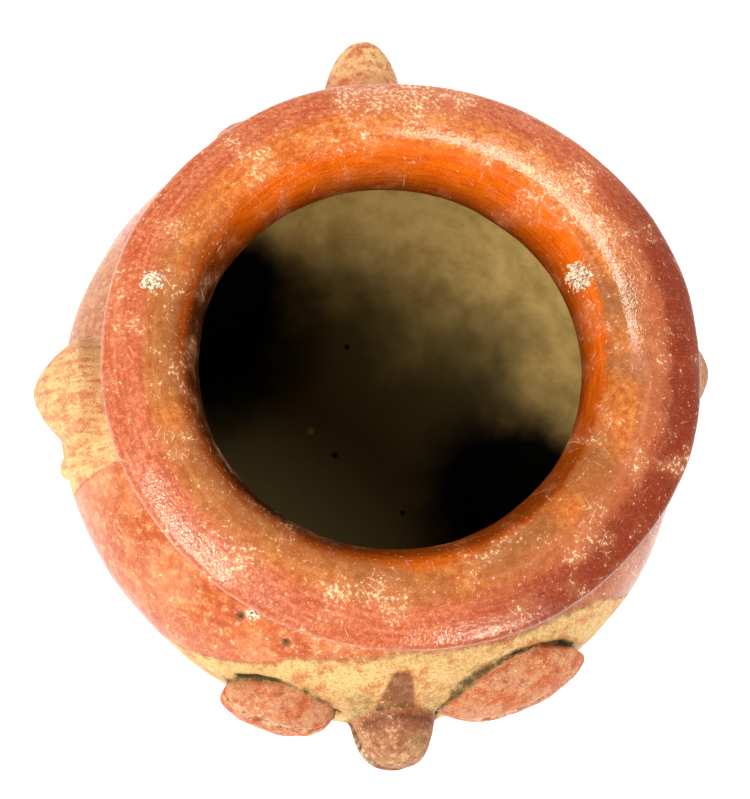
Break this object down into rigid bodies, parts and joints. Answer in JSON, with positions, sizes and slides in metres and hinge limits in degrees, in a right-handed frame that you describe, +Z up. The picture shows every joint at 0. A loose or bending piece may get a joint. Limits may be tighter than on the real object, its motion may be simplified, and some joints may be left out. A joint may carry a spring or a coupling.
{
  "type": "pottery jar",
  "caption": "Squat hand-built pottery jar with a wide everted rim, an animal's snout between two bean-shaped eye pads, side lugs and a tail lug.",
  "frame": {"origin": "centre of the flat base, on the face that the jar stands on", "axes": "+Z up along the jar's axis, -Y towards the snout, +X to the viewer's right when the snout faces the viewer"},
  "size_m": [0.2295, 0.247, 0.15],
  "materials": {
    "red_slip": "burnished iron-red slip on fired clay, worn to orange and cream",
    "orange_slip": "burnished orange slip on fired clay, darker red at the rim's edge",
    "cream_slip": "matt cream slip with red brush strokes, worn",
    "worn_clay": "pinkish-brown fired clay with worn slip and soil in its creases"
  },
  "bodies": {
    "root": {"pinched_base": "red_slip", "wall_coil_1": "red_slip", "wall_coil_2": "red_slip", "wall_coil_3": "red_slip", "wall_coil_4": "red_slip", "wall_coil_5": "red_slip", "neck_collar": "red_slip", "everted_rim": "orange_slip", "snout_upper": "worn_clay", "snout_lower_jaw": "worn_clay", "left_eye_upper_lid": "worn_clay", "left_eye_lower_lid": "worn_clay", "right_eye_upper_lid": "worn_clay", "right_eye_lower_lid": "worn_clay", "left_side_lug": "cream_slip", "left_side_band": "cream_slip", "right_side_lug": "cream_slip", "right_side_band": "cream_slip", "tail_lug": "worn_clay", "rear_left_pad": "worn_clay", "rear_right_pad": "worn_clay"}
  },
  "joints": []
}
